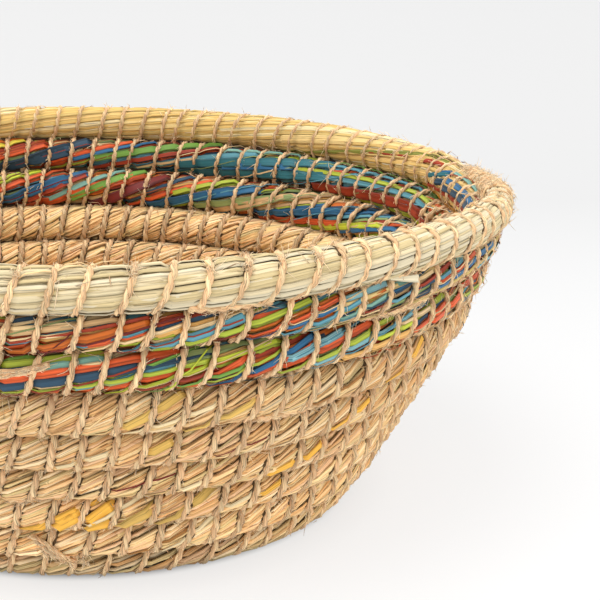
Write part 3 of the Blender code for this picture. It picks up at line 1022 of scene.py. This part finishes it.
for number in range(1, NATURAL_COURSES + 1):
    row = WALL_COURSES - number
    first = along_at(row)
    last = along_at(row + 1)
    light = LIGHT_LOWEST - LIGHT_STEP * (number - 1)
    chance = np.random.default_rng(40 + number)
    grass = cover(chance, first, last, lanes=60, lay=0.080, widths=(0.0011, 0.0018), lengths=(0.04, 0.12),
                  tones=GRASS_TONES, uneven=0.04, wander=0.03, pinch=0.0007,
                  shades=(0.92 * light, 1.10 * light))
    grass += cover(chance, first, last, lanes=14, lay=0.080, widths=(0.0003, 0.0008), lengths=(0.02, 0.07),
                   tones=GRASS_TONES, lift=0.00035, uneven=0.4, pinch=0.0009)
    blades = single(chance, row, OUTSIDE, GRASS_BLADES, LAID_GRASS[number])
    laid = sheaf(blades, BLADE, grass_finish, sharp=True)
    inside = core(first, last, GRASS_SHADOW, depth=0.0007)
    stray = wisps(chance, first, last, STRAY_STALKS, GRASS_TONES)
    bits = sheaf(stray, HAIR, grass_finish)
    # What faces into the bowl is painted lighter here: painted light.
    strands = sheaf(grass, STALK, grass_finish, inner_shade=-0.10)
    wall = join(f"natural_grass_{number}", [inside, strands, laid, bits])
    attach(wall, "root")
    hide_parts(f"natural_course_{number}")
    # The twine's inner side is painted darker: painted shade.
    sew(f"natural_stitching_{number}", f"twine_natural_{number}", seed=50 + number, first=first, last=last,
        tufts=FRAYED_SPOTS.get(number, ()), runs=LOOSE_TWINE.get(number, ()), sizes=((0.0,), (1.2,)),
        inner_shade=0.22, pit_shadows_to=last, light=0.88)


# Dyed courses
# Flat dyed palm blades laid into the bundle in place of grass. The random ones fill the courses, and
# the ones that the eye falls on are listed one by one.

dyed_finish = fibre_finish("dyed_blades", roughness=0.5, grain_scale=(14.0, 1.8, 1.8), contrast=1.3,
                           edge_shade=0.60, bump=0.7)

DYES = {"navy": "2E4A5E", "blue": "2C6890", "sky": "8ABCC2", "teal": "5C98A6", "sea": "82B0A0",
        "lime": "AEBB3C", "citron": "C6D03C", "green": "76A242", "olive": "92A264", "flame": "E05E2C",
        "orange": "CB6820", "rust": "A23A1E", "maroon": "74241E", "cream": "F0CE98", "sand": "D9B07C",
        "peach": "F0B866", "gold": "D89A3A", "yellow": "DCC440", "petrol": "2F6E78", "moss": "8A8C3C"}
DYE_TONES = [linear(DYES[dye]) for dye in ("navy", "blue", "teal", "lime", "olive", "flame",
                                           "orange", "rust", "flame", "cream", "sand", "peach")]
THIN_TONES = [linear(DYES[dye]) for dye in ("navy", "maroon", "cream", "rust", "teal", "olive", "orange")]

UPPER_FRONT = (
    ("navy", 1.2, -101, 80, -95, 95), ("cream", 1.6, -101, 65, -91, 80), ("sand", 1.6, -101, 55, -86, 90),
    ("cream", 1.0, -99, 45, -91, 65), ("rust", 1.0, -101, 35, -83, 90), ("orange", 2.2, -99, 15, -82, 85),
    ("flame", 1.6, -95, 10, -83, 65), ("teal", 0.7, -95, 5, -83, 70), ("cream", 1.1, -94, 0, -79, 75),
    ("rust", 1.0, -84, 75, -74, 95), ("teal", 2.8, -87, 0, -70, 90), ("lime", 1.7, -83, 10, -63, 95),
    ("maroon", 0.8, -79, 5, -74, 35), ("cream", 1.2, -80, 55, -71, 90), ("teal", 2.2, -70, 85, -66, 95),
    ("flame", 1.3, -74, 15, -60, 85), ("blue", 1.6, -74, 5, -59, 75), ("teal", 1.6, -70, 0, -59, 60),
    ("orange", 0.8, -67, 25, -54, 75), ("sea", 1.7, -65, 5, -54, 60), ("cream", 0.9, -66, 0, -59, 20),
    ("sky", 1.8, -60, 75, -53, 90), ("rust", 0.9, -62, 95, -58, 100), ("rust", 0.8, -58, 30, -51, 55),
    ("cream", 1.0, -58, 15, -51, 50), ("sea", 2.0, -54, 80, -50, 85), ("teal", 1.4, -54, 35, -46, 70),
    ("cream", 1.2, -50, 70, -42, 90), ("rust", 1.0, -49, 55, -41, 85), ("navy", 1.0, -46, 60, -42, 75),
    ("teal", 1.4, -46, 50, -37, 80), ("flame", 1.4, -45, 45, -33, 80), ("blue", 1.9, -43, 40, -33, 65),
    ("sea", 1.4, -41, 85, -36, 90), ("blue", 2.0, -33, 70, -22, 65), ("sky", 1.6, -31, 40, -21, 45),
)
LOWER_FRONT = (
    ("green", 1.5, -101, 80, -96, 95), ("lime", 1.9, -101, 75, -88, 100), ("sea", 2.0, -95, 75, -88, 90),
    ("cream", 0.9, -96, 65, -84, 90), ("flame", 2.3, -101, 50, -80, 95),
    ("green", 0.9, -87, 55, -77, 100), ("navy", 2.6, -102, 30, -76, 90), ("lime", 1.3, -102, 10, -77, 70),
    ("citron", 1.5, -88, 10, -75, 70), ("rust", 1.3, -88, 0, -75, 55), ("green", 1.2, -84, 0, -71, 60),
    ("olive", 1.6, -79, 85, -66, 100), ("citron", 1.4, -75, 70, -66, 95), ("flame", 2.0, -80, 5, -72, 70),
    ("lime", 1.0, -80, 0, -66, 80), ("blue", 1.8, -76, 5, -62, 95), ("flame", 1.4, -76, 0, -62, 80),
    ("sky", 2.3, -70, 40, -57, 90), ("lime", 1.9, -70, 5, -54, 70), ("sky", 1.4, -66, 10, -55, 55),
    ("flame", 1.9, -63, 60, -53, 90), ("lime", 1.6, -54, 75, -50, 85), ("sky", 1.1, -53, 60, -46, 80),
    ("citron", 1.6, -54, 50, -47, 60), ("peach", 2.6, -60, 5, -46, 15), ("peach", 3.4, -57, 25, -47, 40),
    ("orange", 0.8, -52, 20, -45, 30), ("blue", 1.4, -46, 90, -42, 95), ("teal", 1.4, -47, 80, -42, 90),
    ("cream", 1.5, -48, 65, -42, 75), ("lime", 1.7, -45, 70, -37, 90), ("flame", 2.0, -46, 35, -38, 70),
    ("flame", 2.4, -43, 35, -33, 70), ("peach", 1.6, -41, 20, -32, 40), ("flame", 1.8, -33, 80, -22, 75),
    ("lime", 1.2, -33, 60, -21, 50),
)
CROSSING = {
    1: (("maroon", 0.4, -95, 20, -90.5, 95), ("cream", 1.8, -53, 92, -47, 95)),
    2: (("citron", 0.5, -83.5, 2, -76.5, 95), ("flame", 0.9, -56, -5, -47, 15)),
}
UPPER_BACK = (
    ("yellow", 1.6, 110, 62, 100, 95), ("orange", 1.6, 110, 75, 103, 95), ("rust", 1.8, 110, 45, 97, 85),
    ("flame", 1.6, 110, 35, 96, 75), ("navy", 3.6, 109, 10, 92, 60), ("navy", 3.2, 103, 30, 88, 85),
    ("flame", 1.4, 97, 30, 80, 90), ("lime", 1.0, 97, 10, 85, 45), ("blue", 1.4, 93, 35, 76, 90),
    ("green", 2.4, 92, 30, 64, 95), ("rust", 1.4, 92, 5, 66, 75), ("cream", 0.9, 84, 10, 68, 50),
    ("sea", 1.6, 86, 0, 64, 60), ("teal", 2.0, 80, 20, 56, 75), ("petrol", 3.2, 78, 0, 41, 45),
    ("petrol", 3.0, 72, 30, 41, 75), ("blue", 2.2, 66, 30, 47, 55), ("sea", 1.4, 66, 70, 48, 90),
    ("lime", 1.4, 50, 50, 11, 75), ("teal", 1.6, 48, 40, 12, 62), ("teal", 1.4, 44, 75, 14, 86),
    ("green", 1.4, 40, 90, 12, 96), ("rust", 3.4, 46, 15, 9, 45), ("rust", 2.4, 36, 25, 9, 38),
    ("citron", 2.2, 42, 0, 9, 22), ("blue", 1.8, 7, 60, -12, 75), ("navy", 1.8, 7, 45, -20, 70),
    ("rust", 1.2, 7, 35, -24, 60), ("gold", 2.2, 7, 10, -30, 45), ("sea", 1.2, 7, 80, -8, 95),
)
LOWER_BACK = (
    ("citron", 2.4, 110, 60, 98, 95), ("flame", 1.6, 110, 40, 96, 90), ("blue", 3.2, 111, 10, 90, 80),
    ("rust", 1.6, 105, 10, 88, 85), ("sea", 1.6, 98, 25, 83, 90), ("green", 2.4, 96, 15, 78, 95),
    ("flame", 3.2, 103, 0, 79, 80), ("maroon", 3.2, 91, 0, 73, 85), ("navy", 1.4, 84, 10, 70, 80),
    ("flame", 1.4, 82, 10, 63, 85), ("blue", 3.0, 79, 10, 53, 75), ("lime", 1.6, 72, 45, 58, 90),
    ("olive", 2.4, 72, 10, 46, 65), ("sand", 2.4, 66, 5, 38, 95), ("blue", 2.4, 56, 15, 33, 60),
    ("flame", 2.0, 58, 0, 34, 35), ("citron", 2.0, 46, 0, 19, 65), ("blue", 1.6, 34, 20, 18, 60),
)

DYED_RUNS = {
    1: ((1, ((-56, -62, 0.6), (-51, -60, 1.4), (-47, -52, 1.2), (-44, -48, 0.6))),
        (1, ((-54, -40, 0.6), (-50, -58, 1.0), (-46, -66, 1.6), (-42, -70, 0.8)))),
    2: ((2, ((-101, 30, 0.9), (-98, 34, 1.2), (-95, 46, 1.0))),
        (2, ((-101, 20, 0.7), (-98, 30, 0.9), (-95.5, 42, 1.5)))),
}
DYED_SHADES = (0.85, 1.12)
DYED_SHADOW = "34342E"

DYED_ROWS = ((1, "upper", UPPER_FRONT, UPPER_BACK), (2, "lower", LOWER_FRONT, LOWER_BACK))

for row, name, front, back in DYED_ROWS:
    first = along_at(row)
    last = along_at(row + 1)
    chance = np.random.default_rng(60 + row)
    blades = cover(chance, first, last, lanes=30, lay=0.15, widths=(0.0009, 0.0022), lengths=(0.05, 0.14),
                   tones=DYE_TONES, lift=-0.0003, wander=0.03, shades=DYED_SHADES)
    blades += cover(chance, first, last, lanes=6, lay=0.15, widths=(0.0003, 0.0006), lengths=(0.04, 0.10),
                    tones=THIN_TONES, lift=0.0012, wander=0.03, shades=DYED_SHADES)
    blades += single(chance, row, OUTSIDE, DYES, front, lift=0.0004)
    blades += single(chance, row, INSIDE, DYES, back, lift=0.0006, spread=1.25)
    blades += single(chance, row, OUTSIDE, DYES, CROSSING[row], lift=0.0016)
    inside = core(first, last, DYED_SHADOW)
    # What faces into the bowl is painted darker: painted shade.
    strips = sheaf(blades, BLADE, dyed_finish, sharp=True, inner_shade=0.1)
    wall = join(f"dyed_blades_{name}", [inside, strips])
    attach(wall, "root")
    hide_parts(f"dyed_course_{name}")
    sew(f"dyed_stitching_{name}", f"twine_dyed_{name}", seed=70 + row, first=first, last=last,
        runs=DYED_RUNS[row])


# Rim
# The last course is of straight pale straw, more golden at the back, and it thins out to the tip of the
# bundle. Beside the tip a few dyed blades show on the inside.

straw_finish = fibre_finish("pale_straw", roughness=0.8, grain_scale=(24.0, 2.2, 2.2), contrast=0.7,
                            edge_shade=0.40, bump=0.5)

PALE_STRAW = [linear(code) for code in ("E8D6AE", "E4D0A2", "E7D6AC", "D8C392", "E8DAB8")]
GOLD_STRAW = [linear(code) for code in ("E8CA88", "E9C27A", "D8BA74", "ECD8A4", "E2BC70")]
RIM_FRONT = (("cream", 0.7, -97, 95, -88, 130), ("cream", 0.6, -95, 115, -86, 135))
RIM_BACK = (
    ("moss", 1.8, 54, 0, 11, 90), ("rust", 0.8, 32, 45, 22, 60), ("rust", 2.2, 18, 60, 8.5, 85),
    ("petrol", 2.0, 13, 45, 8.5, 65), ("navy", 2.4, 12.5, 35, 8.5, 50), ("rust", 1.4, 13, 25, 8.5, 35),
    ("blue", 1.6, 10.5, 60, 8.2, 75), ("gold", 2.6, 18, 5, 8.5, 20),
)
RIM_SHADOW = "A89260"
TIP_BLADE = ((-53.5, -52, 0.5), (-51, -56, 1.6), (-48, -60, 2.8))
TIP_BLADE_WIDTHS = (0.0008, 0.0024)
TIP_BLADE_LENGTH = 0.014
TIP_BLADE_COLOUR = "FBF0D0"
RIM_TUFTS = [(0, bearing, 70) for bearing in (-98, -87, -84, -77, -72, -68, -64)]
RIM_RUN = (0, ((-80, -30, 0.8), (-76, -52, 0.9), (-70, -58, 0.6)))
RIM_STITCH_TURNS = (0.05, 0.12, 0.20, 0.5, 0.8, 1.0)
RIM_STITCH_SIZES = (0.68, 0.88, 1.05, 0.95, 0.95, 0.8)
rim_chance = np.random.default_rng(80)
rim_middle = along_at(0.5)
straw = cover(rim_chance, 0.0, rim_middle, lanes=44, lay=0.42, widths=(0.0010, 0.0016),
              lengths=(0.06, 0.20), tones=PALE_STRAW, lift=0.0002, wander=0.015, pinch=0.0006,
              shades=(0.92, 1.03))
straw += cover(rim_chance, rim_middle, RIM_LENGTH, lanes=46, lay=0.36, widths=(0.0013, 0.0019),
               lengths=(0.06, 0.20), tones=GOLD_STRAW, lift=0.0002, wander=0.015, pinch=0.0004,
               shades=(0.97, 1.08))
straw += cover(rim_chance, first=0.01, last=RIM_LENGTH, lanes=7, lay=0.30, widths=(0.0003, 0.0006),
               lengths=(0.03, 0.08), tones=PALE_STRAW, lift=0.0004, uneven=0.5)
straw += single(rim_chance, 0, INSIDE, DYES, RIM_BACK, lift=0.0005, pinch=0.0006)
straw += single(rim_chance, 0, OUTSIDE, DYES, RIM_FRONT, lift=0.0014)
rim_core = core(0.0, RIM_LENGTH, RIM_SHADOW, depth=0.0011)
tip, _, _ = loose(0, TIP_BLADE)
tip_widths = np.linspace(*TIP_BLADE_WIDTHS, len(tip))
tip_along = np.linspace(0.0, TIP_BLADE_LENGTH, len(tip))
tip_blade = thread(tip, tip_widths, tip_along, linear(TIP_BLADE_COLOUR), -RIM_LEAN - math.pi / 2)
rim_tip = sheaf([tip_blade], BLADE, straw_finish, sharp=True)
rim_strands = sheaf(straw, STRAW, straw_finish, sharp=True)
rim = join("rim_straw", [rim_core, rim_strands, rim_tip])
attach(rim, "root")
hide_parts("rim_course")
rim_stitch_spots = [along_at(turn) for turn in RIM_STITCH_TURNS]
sew("rim_stitching", "twine_rim", seed=81, first=STITCHES[0] - 0.001, last=RIM_LENGTH, tufts=RIM_TUFTS,
    runs=[RIM_RUN], sizes=(rim_stitch_spots, RIM_STITCH_SIZES), leaning=1.25, pit_shadows_to=along_at(0.25))


# Whipping
# The end of the bundle is bound with finer twine, first in open turns and at the tip turn against turn,
# so that the straw can't work loose.

WHIP_FIRST = 0.0
WHIP_LAST = 0.046
WHIP_CLOSE = 0.011
OPEN_PITCH = 0.0036
CLOSE_PITCH = 0.0014
WHIP_SIZE = 0.65
WHIP_PROUD = 0.0006
WHIP_SLANT = 0.0012
WHIP_UNEVEN = 0.0005
WHIP_UNEVEN_RATE = 0.37
WHIP_TURN_POINTS = 34
WHIP_HAIRS = 900
whip_chance = np.random.default_rng(90)
open_turns = (WHIP_LAST - WHIP_CLOSE) / OPEN_PITCH
close_turns = (WHIP_CLOSE - WHIP_FIRST) / CLOSE_PITCH
whip_turns = open_turns + close_turns
whip_angles = np.linspace(0.0, TURN * whip_turns, int(whip_turns * WHIP_TURN_POINTS))
whip_marks = (0.0, TURN * open_turns, TURN * whip_turns)
whip_spots = np.interp(whip_angles, whip_marks, (WHIP_LAST, WHIP_CLOSE, WHIP_FIRST))
whip_spots += WHIP_UNEVEN * np.sin(whip_angles * WHIP_UNEVEN_RATE) + WHIP_SLANT * np.cos(whip_angles)
whip_middle, whip_out, whip_up, _, whip_radius = bundle(np.maximum(whip_spots, 0.0))
whip_outward = outwards(whip_out, whip_up, whip_angles)
whip_line = whip_middle + whip_outward * (whip_radius + WHIP_PROUD)[:, None]
whip_side = np.cross(whip_out, whip_up)
whip_plies = plies(whip_chance, whip_line, whip_outward, whip_side, WHIP_SIZE)
whip_cord = sheaf(whip_plies, ROUND, twine_finish, "MINIMUM")
whip_hairs = hairs(whip_chance, whip_line, whip_outward, whip_side, WHIP_HAIRS)
whip_fuzz = sheaf(whip_hairs, HAIR, twine_finish)
whipping = join("whipping_twine", [whip_cord, whip_fuzz])
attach(whipping, "root")
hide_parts("rim_end_whipping")
